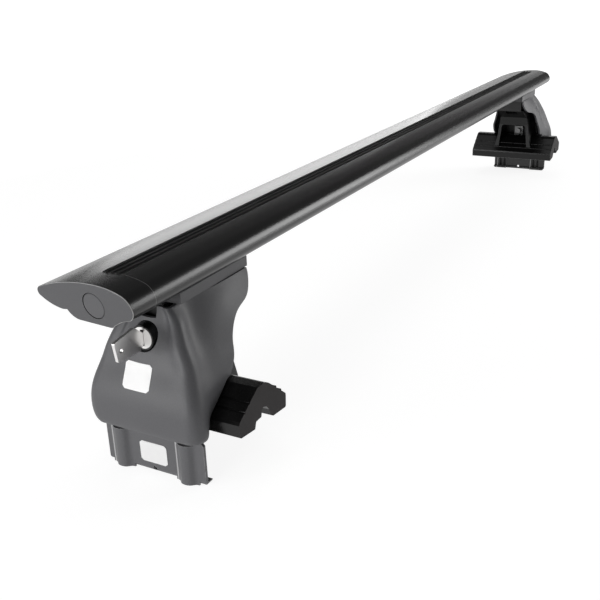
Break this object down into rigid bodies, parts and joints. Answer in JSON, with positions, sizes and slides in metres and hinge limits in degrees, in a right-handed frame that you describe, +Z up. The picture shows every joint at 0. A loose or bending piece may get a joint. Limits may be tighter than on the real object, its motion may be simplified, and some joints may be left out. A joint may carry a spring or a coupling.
{
  "type": "roof rack crossbar",
  "caption": "Aluminium wing section crossbar for a car roof, on clamp feet with lockable plastic covers, rubber roof pads and steel hook plates.",
  "frame": {"origin": "middle of the bar's length, on the ground under it, midway across the roof pads", "axes": "+X along the bar, +Y towards the bar's pointed trailing edge, +Z up"},
  "size_m": [1.0996, 0.1256, 0.1577],
  "materials": {
    "black_coat": "satin",
    "strip_rubber": "matte",
    "cap_plastic": "satin",
    "plug_plastic": "satin",
    "zinc_steel": "satin",
    "saddle_coat": "satin",
    "bracket_coat": "satin",
    "pad_rubber": "matte",
    "hook_coat": "satin",
    "cover_plastic": "satin",
    "lock_black": "gloss",
    "nickel": "polished"
  },
  "bodies": {
    "bar": {"crossbar_profile": "black_coat", "slot_strip": "strip_rubber", "end_cap_right": "cap_plastic", "end_cap_left": "cap_plastic", "cap_plug_right": "plug_plastic", "cap_plug_left": "plug_plastic", "cap_screw_right": "zinc_steel", "cap_screw_left": "zinc_steel"},
    "foot_right": {"saddle_right": "saddle_coat", "foot_bracket_right": "bracket_coat", "roof_pad_right": "pad_rubber", "tee_bolt_right": "zinc_steel", "tee_washer_right": "zinc_steel", "tee_nut_right": "zinc_steel", "clamp_nut_right": "zinc_steel"},
    "clamp_right": {"hook_plate_right": "hook_coat", "clamp_washer_right": "zinc_steel"},
    "draw_bolt_right": {"clamp_bolt_right": "zinc_steel"},
    "hood_right": {"foot_cover_right": "cover_plastic", "lock_barrel_right": "lock_black"},
    "core_right": {"lock_core_right": "nickel", "lock_cam_right": "zinc_steel"},
    "key_body_right": {"key_right": "nickel"},
    "foot_left": {"saddle_left": "saddle_coat", "foot_bracket_left": "bracket_coat", "roof_pad_left": "pad_rubber", "tee_bolt_left": "zinc_steel", "tee_washer_left": "zinc_steel", "tee_nut_left": "zinc_steel", "clamp_nut_left": "zinc_steel"},
    "clamp_left": {"hook_plate_left": "hook_coat", "clamp_washer_left": "zinc_steel"},
    "draw_bolt_left": {"clamp_bolt_left": "zinc_steel"},
    "hood_left": {"foot_cover_left": "cover_plastic", "lock_barrel_left": "lock_black"},
    "core_left": {"lock_core_left": "nickel", "lock_cam_left": "zinc_steel"},
    "key_body_left": {"key_left": "nickel"}
  },
  "joints": [
    {"name": "foot_slide_right", "type": "slide", "parent": "bar", "child": "foot_right", "axis": [1, 0, 0], "range_m": [-0.15, 0.015]},
    {"name": "hook_slide_right", "type": "slide", "parent": "foot_right", "child": "clamp_right", "axis": [1, 0, 0], "range_m": [-0.0025, 0.0035]},
    {"name": "clamp_bolt_turn_right", "type": "hinge", "parent": "clamp_right", "child": "draw_bolt_right", "pos_m": [0.4966, 0, 0.069], "axis": [1, 0, 0], "range_deg": [-720, 1008]},
    {"name": "cover_slide_right", "type": "slide", "parent": "foot_right", "child": "hood_right", "axis": [1, 0, 0], "range_m": [0, 0.06]},
    {"name": "lock_turn_right", "type": "hinge", "parent": "hood_right", "child": "core_right", "pos_m": [0.5, 0, 0.1062], "axis": [1, 0, 0], "range_deg": [0, 90]},
    {"name": "key_slide_right", "type": "slide", "parent": "core_right", "child": "key_body_right", "axis": [1, 0, 0], "range_m": [0, 0.025]},
    {"name": "foot_slide_left", "type": "slide", "parent": "bar", "child": "foot_left", "axis": [-1, 0, 0], "range_m": [-0.15, 0.015]},
    {"name": "hook_slide_left", "type": "slide", "parent": "foot_left", "child": "clamp_left", "axis": [-1, 0, 0], "range_m": [-0.0025, 0.0035]},
    {"name": "clamp_bolt_turn_left", "type": "hinge", "parent": "clamp_left", "child": "draw_bolt_left", "pos_m": [-0.4966, 0, 0.069], "axis": [-1, 0, 0], "range_deg": [-720, 1008]},
    {"name": "cover_slide_left", "type": "slide", "parent": "foot_left", "child": "hood_left", "axis": [-1, 0, 0], "range_m": [0, 0.06]},
    {"name": "lock_turn_left", "type": "hinge", "parent": "hood_left", "child": "core_left", "pos_m": [-0.5, 0, 0.1062], "axis": [1, 0, 0], "range_deg": [0, 90]},
    {"name": "key_slide_left", "type": "slide", "parent": "core_left", "child": "key_body_left", "axis": [-1, 0, 0], "range_m": [0, 0.025]}
  ],
  "couplings": [
    {"joint": "clamp_bolt_turn_right", "follows": "hook_slide_right", "rad_per_m": 5026.5},
    {"joint": "clamp_bolt_turn_left", "follows": "hook_slide_left", "rad_per_m": 5026.5}
  ]
}
